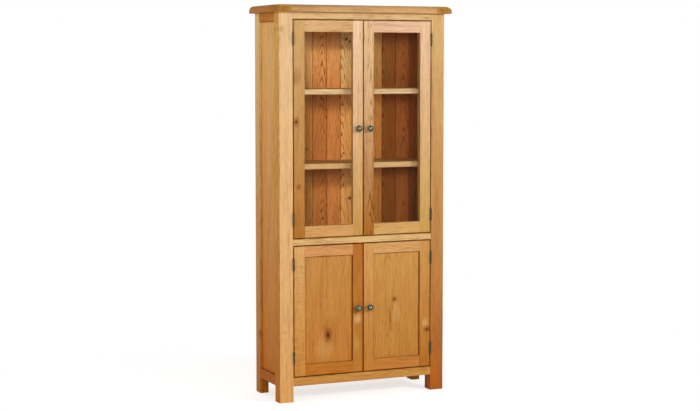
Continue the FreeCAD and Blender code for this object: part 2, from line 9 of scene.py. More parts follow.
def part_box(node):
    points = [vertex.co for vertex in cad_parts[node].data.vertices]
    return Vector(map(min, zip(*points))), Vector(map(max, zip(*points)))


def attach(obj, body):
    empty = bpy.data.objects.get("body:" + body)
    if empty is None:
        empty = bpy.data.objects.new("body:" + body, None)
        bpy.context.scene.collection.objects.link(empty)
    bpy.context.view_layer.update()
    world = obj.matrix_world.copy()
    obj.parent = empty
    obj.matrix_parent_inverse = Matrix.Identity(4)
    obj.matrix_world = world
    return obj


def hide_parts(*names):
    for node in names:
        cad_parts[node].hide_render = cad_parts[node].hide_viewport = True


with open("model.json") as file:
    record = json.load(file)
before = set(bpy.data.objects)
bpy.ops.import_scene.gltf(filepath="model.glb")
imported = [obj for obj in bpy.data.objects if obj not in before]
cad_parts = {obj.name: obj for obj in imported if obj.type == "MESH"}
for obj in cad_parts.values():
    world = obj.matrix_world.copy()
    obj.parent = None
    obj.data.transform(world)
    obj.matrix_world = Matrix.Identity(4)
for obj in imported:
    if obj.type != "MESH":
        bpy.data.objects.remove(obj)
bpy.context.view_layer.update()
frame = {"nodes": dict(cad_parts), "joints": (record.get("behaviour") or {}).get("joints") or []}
nodes = frame["nodes"]


# Posts
# Four rectangular posts of solid oak, planed and lacquered, which run from the floor to the top as legs.
# The rails are tenoned into them, so each post keeps its own run of upright grain.

to_mm = 1000  # Millimetres in a metre
edge_ease = 0.5 / to_mm
# Turns in degrees that bring a board's width, thickness and length to the X, Y and Z of its grain
grain_turns = {
    "upright": (0, 0, 0),
    "upright_side": (0, 0, 90),
    "across": (0, 90, 0),
    "flat_across": (90, 90, 0),
    "back_to_front": (90, 0, 90),
    "flat_back_to_front": (90, 0, 0),
}


def linear(colour):
    """Linear colour of an sRGB hex value."""
    parts = [int(colour[i:i + 2], 16) / 255 for i in (1, 3, 5)]
    return tuple(p / 12.92 if p <= 0.04045 else ((p + 0.055) / 1.055) ** 2.4 for p in parts) + (1.0,)


def add_node(tree, kind, inputs=None, **settings):
    """Adds a node of a kind with its settings, and gives each input a value or a link."""
    node = tree.nodes.new("ShaderNode" + kind)
    for name, value in settings.items():
        setattr(node, name, value)
    for socket, value in (inputs or {}).items():
        if isinstance(value, bpy.types.NodeSocket):
            tree.links.new(value, node.inputs[socket])
        else:
            node.inputs[socket].default_value = value
    return node


def new_material(name):
    """A new material, its empty node tree and the output of that tree."""
    material = bpy.data.materials.new(name)
    material.use_nodes = True
    tree = material.node_tree
    tree.nodes.clear()
    return material, tree, add_node(tree, "OutputMaterial")


def grain_turn(lie):
    """Turn from the room to the grain of a board that lies so."""
    return Euler([math.radians(angle) for angle in grain_turns[lie]])


def place_in_mm(tree, centre=Vector((0, 0, 0)), lie="upright"):
    """Place on a piece in millimetres from a centre, turned to the grain."""
    turn = grain_turn(lie)
    middle = turn.to_matrix() @ (centre * to_mm)
    coords = add_node(tree, "TexCoord")
    place = add_node(tree, "Mapping", {"Vector": coords.outputs["Object"], "Location": -middle,
                                       "Rotation": turn, "Scale": (to_mm, to_mm, to_mm)})
    return place.outputs[0]


def surface_facing(tree, lie="upright"):
    """Direction that a surface faces, turned to the grain."""
    coords = add_node(tree, "TexCoord")
    facing = add_node(tree, "Mapping", {"Vector": coords.outputs["Normal"], "Rotation": grain_turn(lie)})
    return facing.outputs[0]


def oak_grain(tree, place, facing, seed, figure=0.25, pith=(240, 60), taper=0.01, cloud=0.2, streak=0.9,
              ripple=0.0, marks=()):
    """Darkness, knots, pale patches, roughness and bump of oak whose length runs along Z.

    Growth rings are cones round the pith, which a planed face cuts to lines or long arches. Oak's rings
    are 2 to 4 mm apart and its pores 0.3 mm wide. At 4.5 mm to a pixel both would blur away, so they are
    drawn coarser: rings 5 mm apart and pores 1.5 mm wide. Figure, cloud, streak and ripple say how much
    the rings, broad drifts, fibres and curls across the grain show. A mark gives its place across and
    along the board, radius, stretch, shade (below 0 for a pale patch) and the darkness of its knot.
    """
    ring_spacing = 5.0
    # Width and length in millimetres, detail and roughness of each uneven pattern in the grain
    patterns = {
        "waver": (60, 300, 2.0, 0.5),
        "fibre": (4, 50, 4.0, 0.65),
        "vein": (11, 170, 3.0, 0.5),
        "pores": (1.5, 28, 2.0, 0.5),
        "drift": (45, 330, 3.0, 0.5),
    }
    if ripple:
        patterns["curl"] = (45, 10, 1.0, 0.5)
    uneven = {}
    for name, (width, length, detail, roughness) in patterns.items():
        stretched = add_node(tree, "VectorMath", {0: place, 1: (1 / width, 1 / width, 1 / length)},
                             operation="MULTIPLY")
        uneven[name] = add_node(tree, "TexNoise", {"Vector": stretched.outputs[0], "W": seed, "Scale": 1.0,
                                                   "Detail": detail, "Roughness": roughness},
                                noise_dimensions="4D")
    fibre = uneven["fibre"].outputs["Fac"]
    vein = uneven["vein"].outputs["Fac"]

    # The rings waver along the tree and bend with its veins
    waver_reach = 8.0
    vein_reach = 6.0
    heart = add_node(tree, "VectorMath", {0: place, 1: (-pith[0] - waver_reach, -pith[1] - waver_reach, 0)})
    bent = add_node(tree, "VectorMath", {0: uneven["waver"].outputs["Color"],
                                         1: (2 * waver_reach, 2 * waver_reach, 0), 2: heart.outputs[0]},
                    operation="MULTIPLY_ADD")
    level = add_node(tree, "VectorMath", {0: bent.outputs[0], 1: (1, 1, 0)}, operation="MULTIPLY")
    radius = add_node(tree, "VectorMath", {0: level.outputs[0]}, operation="LENGTH")
    apart = add_node(tree, "SeparateXYZ", {0: place})
    cone = add_node(tree, "Math", {0: apart.outputs[2], 1: taper, 2: radius.outputs["Value"]},
                    operation="MULTIPLY_ADD")
    reach = add_node(tree, "Math", {0: vein, 1: vein_reach, 2: cone.outputs[0]},
                     operation="MULTIPLY_ADD").outputs[0]

    # A mark's frayed edge, its halo and knot, and the bulge of the rings round it, as shares of its radius
    vein_fray = 1.2
    fibre_fray = 0.8
    edge_share = 1.4
    halo_width = 3.5
    knot_outside = 0.7
    knot_inside = 0.1
    bulge_width = 7.0
    bulge_height = 2.0
    into_board = 0.2
    shade = 0.0
    knot = 0.0
    pale = 0.0
    for across, along, size, stretch, depth, core in marks:
        spot = add_node(tree, "VectorMath", {0: place, 1: (1, into_board, 1 / stretch)},
                        operation="MULTIPLY")
        gap = add_node(tree, "VectorMath", {0: spot.outputs[0], 1: (across, 0, along / stretch)},
                       operation="DISTANCE").outputs["Value"]
        veiny = add_node(tree, "Math", {0: vein, 1: size * vein_fray, 2: gap}, operation="MULTIPLY_ADD")
        frayed = add_node(tree, "Math", {0: fibre, 1: size * fibre_fray, 2: veiny.outputs[0]},
                          operation="MULTIPLY_ADD").outputs[0]
        edge = size * edge_share
        halo = add_node(tree, "MapRange", {"Value": frayed, "From Min": edge + size * halo_width,
                                           "From Max": edge, "To Max": abs(depth)},
                        interpolation_type="SMOOTHSTEP").outputs[0]
        bulge = add_node(tree, "MapRange", {"Value": gap, "From Min": size * bulge_width, "From Max": 0.0,
                                            "To Max": size * bulge_height},
                         interpolation_type="SMOOTHERSTEP")
        reach = add_node(tree, "Math", {0: reach, 1: bulge.outputs[0]}).outputs[0]
        if depth > 0:
            shade = add_node(tree, "Math", {0: shade, 1: halo}).outputs[0]
        else:
            pale = add_node(tree, "Math", {0: pale, 1: halo}, operation="MAXIMUM").outputs[0]
        if core:
            middle = add_node(tree, "MapRange", {"Value": frayed, "From Min": edge + size * knot_outside,
                                                 "From Max": edge - size * knot_inside, "To Max": core},
                              interpolation_type="SMOOTHSTEP")
            knot = add_node(tree, "Math", {0: knot, 1: middle.outputs[0]}, operation="MAXIMUM").outputs[0]

    # A ring starts porous and dark and fades, some years stronger than others, and the fibres break it up
    turn = add_node(tree, "Math", {0: reach, 1: 1 / ring_spacing}, operation="MULTIPLY")
    phase = add_node(tree, "Math", {0: turn.outputs[0]}, operation="FRACT")
    year = add_node(tree, "Math", {0: turn.outputs[0]}, operation="FLOOR")
    season = add_node(tree, "TexWhiteNoise", {"W": year.outputs[0]}, noise_dimensions="1D")
    ring = add_node(tree, "ValToRGB", {"Fac": phase.outputs[0]})
    ring.color_ramp.interpolation = "EASE"
    ring.color_ramp.elements[1].color = (0, 0, 0, 1)
    for position, value in ((0.1, 1.0), (0.28, 0.55), (0.55, 0.12)):
        ring.color_ramp.elements.new(position).color = (value, value, value, 1)
    strength = add_node(tree, "MapRange", {"Value": season.outputs["Value"], "To Min": 0.3, "To Max": 1.2})
    yearly = add_node(tree, "Math", {0: ring.outputs["Color"], 1: strength.outputs[0]}, operation="MULTIPLY")
    broken = add_node(tree, "MapRange", {"Value": fibre, "From Min": 0.35, "From Max": 0.65,
                                         "To Min": 0.3, "To Max": 1.4})
    band = add_node(tree, "Math", {0: yearly.outputs[0], 1: broken.outputs[0]},
                    operation="MULTIPLY").outputs[0]
    pore = add_node(tree, "MapRange", {"Value": uneven["pores"].outputs["Fac"], "From Min": 0.5,
                                       "From Max": 0.7}).outputs[0]
    faces = add_node(tree, "SeparateXYZ", {0: facing})
    crosscut = add_node(tree, "Math", {0: faces.outputs[2]}, operation="ABSOLUTE")
    end_grain = add_node(tree, "MapRange", {"Value": crosscut.outputs[0], "From Min": 0.6, "From Max": 0.95,
                                            "To Max": 0.4}).outputs[0]

    # Each pattern darkens by its weight, and the start is set so that the board keeps a middle darkness
    middle_dark = 0.35
    ring_middle = 0.3
    uneven_middle = 0.5
    vein_share = 0.6
    pore_dark = 0.1
    weights = [(band, figure), (fibre, streak), (vein, streak * vein_share), (pore, pore_dark),
               (uneven["drift"].outputs["Fac"], 2 * cloud), (shade, 1.0), (end_grain, 1.0)]
    dark = middle_dark - ring_middle * figure - uneven_middle * (1 + vein_share) * streak - cloud
    if ripple:
        weights.append((uneven["curl"].outputs["Fac"], ripple))
        dark -= uneven_middle * ripple
    for pattern, weight in weights:
        dark = add_node(tree, "Math", {0: pattern, 1: weight, 2: dark}, operation="MULTIPLY_ADD").outputs[0]

    gloss = add_node(tree, "MapRange", {"Value": fibre, "From Min": 0.3, "From Max": 0.7,
                                        "To Min": 0.4, "To Max": 0.55})
    relief = add_node(tree, "Math", {0: pore, 1: band, 2: pore}, operation="MULTIPLY_ADD")
    bump = add_node(tree, "Bump", {"Height": relief.outputs[0], "Strength": 0.2, "Distance": 0.0003},
                    invert=True)
    return dark, knot, pale, gloss.outputs[0], bump.outputs[0]


def oak_colour(tree, tone, dark, knot=0.0, pale=0.0):
    """Colour of oak from a board's own tone: paler between the rings, redder and browner in them."""
    pale_patch = "#dcae70"
    knot_brown = "#54260f"
    # What each darkness does to red, green and blue, divided by the palest because a ramp ends at 1
    palest = 1.3
    no_change_at = 0.35
    between_rings = (1.18, 1.22, 1.28)
    deep_in_rings = (0.45, 0.28, 0.14)
    # A Mix node takes its colours in sockets 6 and 7 and gives one at output 2
    tone = add_node(tree, "Mix", {0: pale, 6: tone, 7: linear(pale_patch)}, data_type="RGBA").outputs[2]
    shades = add_node(tree, "ValToRGB", {"Fac": dark})
    stops = shades.color_ramp.elements
    stops[0].color = tuple(part / palest for part in between_rings) + (1,)
    stops[1].color = tuple(part / palest for part in deep_in_rings) + (1,)
    stops.new(no_change_at).color = (1 / palest, 1 / palest, 1 / palest, 1)
    tinted = add_node(tree, "VectorMath", {0: tone, 1: shades.outputs["Color"]}, operation="MULTIPLY")
    colour = add_node(tree, "VectorMath", {0: tinted.outputs[0], "Scale": palest}, operation="SCALE")
    knotted = add_node(tree, "Mix", {0: knot, 6: colour.outputs[0], 7: linear(knot_brown)}, data_type="RGBA")
    return knotted.outputs[2]


def oak_skin(tree, output, colour, gloss, bump):
    """Thin satin finish over oak: the grain shows through, with a broad soft shine."""
    skin = add_node(tree, "BsdfPrincipled", {"Base Color": colour, "Roughness": gloss, "Normal": bump,
                                             "Specular IOR Level": 0.04})
    tree.links.new(skin.outputs[0], output.inputs[0])


def inner_edge_shade(tree, low, high, axes, width, depth):
    """Painted shade along the inside of a rectangle, where the light falls off at a gap or recess.

    It is full at a fifth of its width.
    """
    apart = add_node(tree, "SeparateXYZ", {0: place_in_mm(tree, (low + high) / 2)})
    outside = []
    for axis in axes:
        half_size = (high[axis] - low[axis]) * to_mm / 2
        far = add_node(tree, "Math", {0: apart.outputs[axis]}, operation="ABSOLUTE")
        outside.append(add_node(tree, "Math", {0: far.outputs[0], 1: -half_size}).outputs[0])
    nearest = add_node(tree, "Math", {0: outside[0], 1: outside[1]}, operation="MAXIMUM")
    line = add_node(tree, "MapRange", {"Value": nearest.outputs[0], "From Min": -width,
                                       "From Max": -width / 5, "To Max": depth},
                    interpolation_type="SMOOTHSTEP")
    return line.outputs[0]


def lacquered_oak(node, lie, low, high=None, side=None, edge=None, cheek=0.0, **cut):
    """Planed oak under satin lacquer for one board, toned from its low or left end to its other end.

    The change of tone is partly the board's own and partly painted light: an upright board is paler high
    up, where more light falls, and darker low down. The eye sees the run of the grain, softly shining, and
    a darker line of painted shade along the long edges. Side is a pair of tones for the faces to the sides,
    painted light and shade for how the light falls on them. Edge paints shade along the inside of a
    rectangle, the share after it paints shade on the side faces, and cut says how the board lay in its tree.
    """
    rim_start = 3.5
    rim_full = 0.5
    rim_shade_depth = 0.22
    seed_step = 3.7
    material, tree, output = new_material("lacquered_oak_" + node)
    first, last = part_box(node)
    place = place_in_mm(tree, (first + last) / 2, lie)
    facing = surface_facing(tree, lie)
    seed = sorted(nodes).index(node) * seed_step
    dark, knot, pale, gloss, bump = oak_grain(tree, place, facing, seed, **cut)
    apart = add_node(tree, "SeparateXYZ", {0: place})
    span = grain_turn(lie).to_matrix() @ (last - first)
    half_width = abs(span.x) * to_mm / 2
    half_length = abs(span.z) * to_mm / 2
    # The grain of a board that does not stand upright runs from right to left
    climb = 1 if "upright" in lie else -1
    along = add_node(tree, "MapRange", {"Value": apart.outputs[2], "From Min": -half_length * climb,
                                        "From Max": half_length * climb}).outputs[0]
    tone = add_node(tree, "Mix", {0: along, 6: linear(low), 7: linear(high or low)},
                    data_type="RGBA").outputs[2]
    faces = add_node(tree, "SeparateXYZ", {0: facing})
    sideways = add_node(tree, "Math", {0: faces.outputs[0]}, operation="ABSOLUTE")
    flank = add_node(tree, "MapRange", {"Value": sideways.outputs[0], "From Min": 0.5,
                                        "From Max": 0.9}).outputs[0]
    # Painted light and shade: the side faces take tones of their own, for how the light falls on them
    if side:
        flank_tone = add_node(tree, "Mix", {0: along, 6: linear(side[0]), 7: linear(side[1])},
                              data_type="RGBA")
        tone = add_node(tree, "Mix", {0: flank, 6: tone, 7: flank_tone.outputs[2]},
                        data_type="RGBA").outputs[2]
    # Painted shade on the side faces, by the given share
    dark = add_node(tree, "Math", {0: flank, 1: cheek, 2: dark}, operation="MULTIPLY_ADD").outputs[0]
    # Painted shade: a darker line along the long edges, where the boards meet
    brink = add_node(tree, "Math", {0: apart.outputs[0]}, operation="ABSOLUTE")
    rim = add_node(tree, "MapRange", {"Value": brink.outputs[0], "From Min": half_width - rim_start,
                                      "From Max": half_width - rim_full, "To Max": rim_shade_depth})
    dark = add_node(tree, "Math", {0: dark, 1: rim.outputs[0]}).outputs[0]
    if edge:
        dark = add_node(tree, "Math", {0: dark, 1: inner_edge_shade(tree, *edge)}).outputs[0]
    oak_skin(tree, output, oak_colour(tree, tone, dark, knot, pale), gloss, bump)
    return material


def dress(node, material, ease=edge_ease):
    """Gives a CAD piece its material, and eases its edges where a width is given."""
    touching = 0.00001
    flat_angle = math.radians(0.5)
    sharp_angle = math.radians(35)
    piece = nodes[node]
    piece.data.materials.clear()
    piece.data.materials.append(material)
    if ease:
        piece.modifiers.new("joined_faces", "WELD").merge_threshold = touching
        flat = piece.modifiers.new("flat_faces", "DECIMATE")
        flat.decimate_type = "DISSOLVE"
        flat.angle_limit = flat_angle
        eased = piece.modifiers.new("eased_edges", "BEVEL")
        eased.width = ease
        eased.segments = 2
        eased.limit_method = "ANGLE"
        eased.angle_limit = sharp_angle
        eased.miter_outer = "MITER_ARC"
        piece.modifiers.new("even_shading", "WEIGHTED_NORMAL").keep_sharp = False


def oak_board(node, lie, low, high=None, ease=edge_ease, **look):
    """Dresses a CAD board in lacquered oak of its own."""
    dress(node, lacquered_oak(node, lie, low, high, **look), ease)


# Painted light and shade: each post is paler high up, the left post's side faces take a deeper tone for the
# side that gets less light, and the right rear post is toned darker because it stands in shadow
oak_board("front_post_left", "upright", "#daa160", "#dbb587", side=("#c87820", "#f4bd62"), cloud=0.12,
          ripple=0.12, marks=((-20.5, 808, 5, 1.3, 0.35, 0.6), (-8, -560, 4, 1, 0.3, 0.5)))
oak_board("front_post_right", "upright", "#a95b1a", "#c9a268", pith=(-60, 40), taper=0.03, cloud=0.4)
oak_board("rear_post_left", "upright_side", "#b86f18", "#eac082", figure=0.2, pith=(110, 40), cloud=0.3,
          marks=((18, -602, 6, 1.6, 0.4, 0.8),))
oak_board("rear_post_right", "upright_side", "#9c6428", "#b86c33", figure=0.2, pith=(110, 40), cloud=0.3)


# Sides
# Each side is a frame of two rails tenoned between the posts, with one long flat panel of oak
# that lies loose in grooves all round, so it can swell and shrink.


def panel_edge_shade(across, near_member, far_member, low_rail, high_rail):
    """Painted shade round a panel inside its frame, except below, where the rail's edge catches the light.
    """
    line_width = 5.0
    line_shade = 0.8
    below = 100.0 / to_mm
    low = Vector((0, 0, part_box(low_rail)[1].z - below))
    high = Vector((0, 0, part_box(high_rail)[0].z))
    low[across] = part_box(near_member)[1][across]
    high[across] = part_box(far_member)[0][across]
    return low, high, (across, 2), line_width, line_shade


# Painted light and shade: the bottom rail is toned darker and the panel paler high up, and the panel's edges
# inside the frame are painted dark as shade
for hand in ("left", "right"):
    top_rail = "side_top_rail_" + hand
    bottom_rail = "side_bottom_rail_" + hand
    oak_board(top_rail, "back_to_front", "#c47c24")
    oak_board(bottom_rail, "back_to_front", "#ad5d08")
    oak_board("side_panel_" + hand, "upright_side", "#c3711e", "#eab66c", figure=0.15, pith=(140, 90),
              edge=panel_edge_shade(1, "front_post_" + hand, "rear_post_" + hand, bottom_rail, top_rail))


# Front rails
# Three oak rails, tenoned into the front posts, tie them together above, between and below the doors.
# They are streaky, straight grained boards, and the lowest one is the darkest, partly as painted shade low
# down.

oak_board("front_top_rail", "across", "#d0ac78", cloud=0.3, streak=1.3)
oak_board("front_middle_rail", "across", "#d7ad72", pith=(60, 40), cloud=0.3, streak=1.3)
oak_board("front_bottom_rail", "across", "#c48a44", cloud=0.3, streak=1.3)


# Back
# Tongued and grooved oak boards stand behind two rails and are nailed to them. Each board was cut
# from a plank of its own, so the figure and the tone change from board to board. The tones also hold
# painted light: paler boards in the upper bay, and, as painted shade, darker boards at the right.

for rail in ("rear_top_rail", "rear_bottom_rail"):
    oak_board(rail, "across", "#c79455")

board_pitch = 72.0
joint_offset = 12.7
first_board = -6
# Each board's tone below and above, and how far in millimetres the heart of its tree lay from its middle
boards = (("#d08f4c", "#dd9851", 30), ("#c27f40", "#cf8744", -8), ("#d2944f", "#df9d54", 48),
          ("#c47e3b", "#f7b06b", -26), ("#c77436", "#f19e58", 14), ("#e08845", "#f09b57", 50),
          ("#fcac5f", "#fdc27c", -30), ("#cb8547", "#e0944f", 34), ("#f9a14e", "#fdb668", -48),
          ("#ad6026", "#b66b2f", -30), ("#c46f32", "#ca7537", 8))
heart_reach = 100.0
# Where the arches of the rings stand, and how much that differs from board to board
heart_depth = 165.0
heart_height = 1550.0
depth_spread = 14
height_spread = 700
# Heights between which the lower tones pass into the upper ones, paler as painted light in the upper bay
tones_change_from = 1300.0
tones_change_to = 1560.0
joint_shade = 3.0
joint_full = 1.5
joint_shade_depth = 0.6

# Oil leaves oak warm and open, so its arched rings stand out, and each joint shows as a dark line of painted
# shade
material, tree, output = new_material("oiled_oak_back_boards")
place = place_in_mm(tree)
apart = add_node(tree, "SeparateXYZ", {0: place})
count = add_node(tree, "Math", {0: apart.outputs[0], 1: 1 / board_pitch, 2: -joint_offset / board_pitch},
                 operation="MULTIPLY_ADD")
plank = add_node(tree, "Math", {0: count.outputs[0]}, operation="FLOOR").outputs[0]
number = add_node(tree, "Math", {0: plank, 1: 1 / len(boards), 2: (0.5 - first_board) / len(boards)},
                  operation="MULTIPLY_ADD")
low_tones = add_node(tree, "ValToRGB", {"Fac": number.outputs[0]})
high_tones = add_node(tree, "ValToRGB", {"Fac": number.outputs[0]})
hearts = add_node(tree, "ValToRGB", {"Fac": number.outputs[0]})
for ramp in (low_tones.color_ramp, high_tones.color_ramp, hearts.color_ramp):
    ramp.interpolation = "CONSTANT"
    ramp.elements.remove(ramp.elements[1])
    for i in range(1, len(boards)):
        ramp.elements.new(i / len(boards))
for i, (low, high, heart) in enumerate(boards):
    low_tones.color_ramp.elements[i].color = linear(low)
    high_tones.color_ramp.elements[i].color = linear(high)
    share = 0.5 - heart / (2 * heart_reach)
    hearts.color_ramp.elements[i].color = (share, share, share, 1)
chance = add_node(tree, "TexWhiteNoise", {"W": plank}, noise_dimensions="1D")
own = add_node(tree, "VectorMath", {0: chance.outputs["Color"], 1: (0, depth_spread, height_spread),
                                    2: place}, operation="MULTIPLY_ADD")
middle = add_node(tree, "Math", {0: plank, 1: -board_pitch,
                                 2: -joint_offset - board_pitch / 2 - heart_reach}, operation="MULTIPLY_ADD")
aside = add_node(tree, "Math", {0: hearts.outputs["Color"], 1: 2 * heart_reach, 2: middle.outputs[0]},
                 operation="MULTIPLY_ADD")
shift = add_node(tree, "CombineXYZ", {0: aside.outputs[0], 1: -heart_depth, 2: -heart_height})
in_plank = add_node(tree, "VectorMath", {0: own.outputs[0], 1: shift.outputs[0]})
dark, knot, pale, gloss, bump = oak_grain(tree, in_plank.outputs[0], surface_facing(tree), plank,
                                          figure=1.15, pith=(0, 14), taper=0.1, cloud=0.25, streak=0.8)
# Painted shade along each joint between the boards
from_joint = add_node(tree, "Math", {0: count.outputs[0]}, operation="FRACT")
centred = add_node(tree, "Math", {0: from_joint.outputs[0], 1: -0.5})
off_middle = add_node(tree, "Math", {0: centred.outputs[0]}, operation="ABSOLUTE")
joint = add_node(tree, "MapRange", {"Value": off_middle.outputs[0], "To Max": joint_shade_depth,
                                    "From Min": 0.5 - joint_shade / board_pitch,
                                    "From Max": 0.5 - joint_full / board_pitch})
dark = add_node(tree, "Math", {0: dark, 1: joint.outputs[0]}).outputs[0]
# Painted light: the boards turn paler towards the upper bay
upper_bay_light = add_node(tree, "MapRange", {"Value": apart.outputs[2], "From Min": tones_change_from,
                                    "From Max": tones_change_to}, interpolation_type="SMOOTHSTEP")
tone = add_node(tree, "Mix", {0: upper_bay_light.outputs[0], 6: low_tones.outputs["Color"],
                              7: high_tones.outputs["Color"]}, data_type="RGBA")

# Knots by their place across and up the back, with their radius
back_knots = ((40.5, 1652.0, 7.0), (63.8, 1641.0, 6.0), (58.6, 896.0, 7.0), (-157.0, 1135.0, 5.0),
              (27.0, 1112.0, 5.0))
lump_size = 8.0
lump_reach = 5.0
knot_outside = 1.5
knot_inside = 0.5
knot_dark = 0.9
lumps = add_node(tree, "TexNoise", {"Vector": place, "Scale": 1 / lump_size, "Detail": 3.0})
flat = add_node(tree, "VectorMath", {0: place, 1: (1, 0, 1)}, operation="MULTIPLY")
waved = add_node(tree, "VectorMath", {0: lumps.outputs["Color"], 1: (2 * lump_reach, 0, 2 * lump_reach),
                                      2: flat.outputs[0]}, operation="MULTIPLY_ADD")
for across, up, radius in back_knots:
    gap = add_node(tree, "VectorMath", {0: waved.outputs[0], 1: (across + lump_reach, 0, up + lump_reach)},
                   operation="DISTANCE")
    core = add_node(tree, "MapRange", {"Value": gap.outputs["Value"], "From Min": radius * knot_outside,
                                       "From Max": radius * knot_inside, "To Max": knot_dark},
                    interpolation_type="SMOOTHSTEP")
    knot = add_node(tree, "Math", {0: knot, 1: core.outputs[0]}, operation="MAXIMUM").outputs[0]
oak_skin(tree, output, oak_colour(tree, tone.outputs[2], dark, knot, pale), gloss, bump)
dress("back_boards", material, 0)


def smooth_mesh(form, name, material, sharp=35):
    """New object of one material from a bmesh, smooth except along edges sharper than an angle."""
    for face in form.faces:
        face.smooth = True
    for edge in form.edges:
        edge.smooth = len(edge.link_faces) == 2 and edge.calc_face_angle(0.0) < math.radians(sharp)
    mesh = bpy.data.meshes.new(name)
    form.to_mesh(mesh)
    form.free()
    mesh.materials.append(material)
    piece = bpy.data.objects.new(name, mesh)
    bpy.context.scene.collection.objects.link(piece)
    return piece


def turned(form, profile, centre, axis, steps):
    """Spins a profile of (radius, height) points in millimetres round an axis through a centre."""
    axis = Vector(axis)
    outward = axis.orthogonal().normalized()
    verts = [form.verts.new(centre + outward * (r / to_mm) + axis * (h / to_mm)) for r, h in profile]
    edges = [form.edges.new(pair) for pair in zip(verts, verts[1:])]
    bmesh.ops.spin(form, geom=verts + edges, cent=centre, axis=axis, angle=2 * math.pi, steps=steps,
                   use_merge=True)


def close_form(form):
    """Joins the points that lie together and turns the faces outward."""
    together = 0.000001
    bmesh.ops.remove_doubles(form, verts=form.verts[:], dist=together)
    bmesh.ops.recalc_face_normals(form, faces=form.faces[:])


def aged_metal(name, base, rubbed, dull, blotch_size, rough):
    """Metal with a rubbed finish: cloudy, brighter on its crests, with patina in a knob's groove and neck
    and painted shade on the floor of a screw's slot.

    Its pits are about 0.1 mm wide, too fine to show, so they are drawn coarser, 0.7 mm wide.
    """
    pit_size = 2 / 3
    material, tree, output = new_material(name)
    place = place_in_mm(tree)
    blotch = add_node(tree, "TexNoise", {"Vector": place, "Scale": 1 / blotch_size, "Detail": 4.0})
    crest = add_node(tree, "MapRange", {"Value": blotch.outputs["Fac"], "From Min": 0.35, "From Max": 0.65})
    patina_and_shade = add_node(tree, "Attribute", attribute_name="patina_and_shade")
    cloudy = add_node(tree, "Mix", {0: crest.outputs[0], 6: linear(base), 7: linear(rubbed)},
                      data_type="RGBA")
    aged = add_node(tree, "Mix", {0: patina_and_shade.outputs["Fac"], 6: cloudy.outputs[2], 7: linear(dull)},
                    data_type="RGBA")
    worn = add_node(tree, "MapRange", {"Value": blotch.outputs["Fac"], "To Min": rough - 0.1,
                                       "To Max": rough + 0.15})
    pits = add_node(tree, "TexNoise", {"Vector": place, "Scale": 1 / pit_size, "Detail": 2.0})
    bump = add_node(tree, "Bump", {"Height": pits.outputs["Fac"], "Strength": 0.15, "Distance": 0.0002})
    skin = add_node(tree, "BsdfPrincipled", {"Base Color": aged.outputs[2], "Metallic": 1.0,
                                             "Roughness": worn.outputs[0], "Normal": bump.outputs[0]})
    tree.links.new(skin.outputs[0], output.inputs[0])
    return material


# Bright drawn steel gives small grey glints in two rows
nail_steel = aged_metal("bright_nail_steel", "#77797b", "#8f9193", "#3c3a38", blotch_size=2.0, rough=0.4)
nail_profile = ((0.0, -0.5), (2.0, -0.5), (2.0, 0.05), (1.6, 0.3), (0.0, 0.4))
nail_shares = (0.25, 0.75)
boards_low, boards_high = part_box("back_boards")
nails = bmesh.new()
for rail in ("rear_bottom_rail", "rear_top_rail"):
    rail_low, rail_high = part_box(rail)
    for i in range(len(boards)):
        left = (joint_offset + (first_board + i) * board_pitch) / to_mm
        right = boards_high.x if i == len(boards) - 1 else left + board_pitch / to_mm
        left = max(left, boards_low.x)
        for share in nail_shares:
            centre = Vector((left + (right - left) * share, boards_high.y, (rail_low.z + rail_high.z) / 2))
            turned(nails, nail_profile, centre, (0, 1, 0), steps=12)
close_form(nails)
nail_heads = smooth_mesh(nails, "back_nail_heads", nail_steel)
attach(nail_heads, "carcass")


# Floors and shelves
# Flat oak boards, notched round the posts, lie on bearers that are stub tenoned between the posts.
# The front edges are toned paler than the tops, as painted light on the lit edges, and those of the two
# display shelves are paler than those of the floors.

shelf_ease = 0.3 / to_mm
front_tones = {"bottom_floor": ("#d6a468", "#d6a468"), "middle_floor": ("#d6a468", "#d6a468"),
               "cupboard_shelf": ("#d6a468", "#d6a468"), "lower_display_shelf": ("#fbc789", "#e5b383"),
               "upper_display_shelf": ("#ffd6a2", "#facda5")}
for shelf, front_tone in front_tones.items():
    oak_board(shelf, "flat_across", "#c89858", ease=shelf_ease, figure=0.3, pith=(60, 130), side=front_tone)
oak_board("shelf_bearers", "back_to_front", "#c08a4a", ease=0)


# Top
# A thick oak top with its front and side edges rounded over. Its middle runs along the front, and a
# cleat across each end, whose end grain shows at the front, keeps it flat.

cleat_width = 76.0
long_seed = 1.7
cleat_seed = 9.2

# Lacquered like the posts: long streaks along the middle, browner cleats across them. A cleat's front face
# is toned paler than its other faces, partly as painted light.
material, tree, output = new_material("lacquered_oak_top")
top_low, top_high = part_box("top_board")
top_centre = (top_low + top_high) / 2
long_dark, _, _, long_gloss, long_bump = oak_grain(
    tree, place_in_mm(tree, top_centre, "flat_across"), surface_facing(tree, "flat_across"), long_seed,
    figure=0.3, pith=(60, 120), taper=0.02, cloud=0.6)
cleat_dark, _, _, cleat_gloss, cleat_bump = oak_grain(
    tree, place_in_mm(tree, top_centre, "flat_back_to_front"), surface_facing(tree, "flat_back_to_front"),
    cleat_seed, figure=0.3, pith=(320, 110), taper=0.02, cloud=0.5, streak=0.8)
coords = add_node(tree, "TexCoord")
spread = add_node(tree, "SeparateXYZ", {0: coords.outputs["Object"]})
far = add_node(tree, "Math", {0: spread.outputs[0]}, operation="ABSOLUTE")
at_end = add_node(tree, "Math", {0: far.outputs[0], 1: top_high.x - cleat_width / to_mm},
                  operation="GREATER_THAN").outputs[0]
dark = add_node(tree, "Mix", {0: at_end, 2: long_dark, 3: cleat_dark})
gloss = add_node(tree, "Mix", {0: at_end, 2: long_gloss, 3: cleat_gloss})
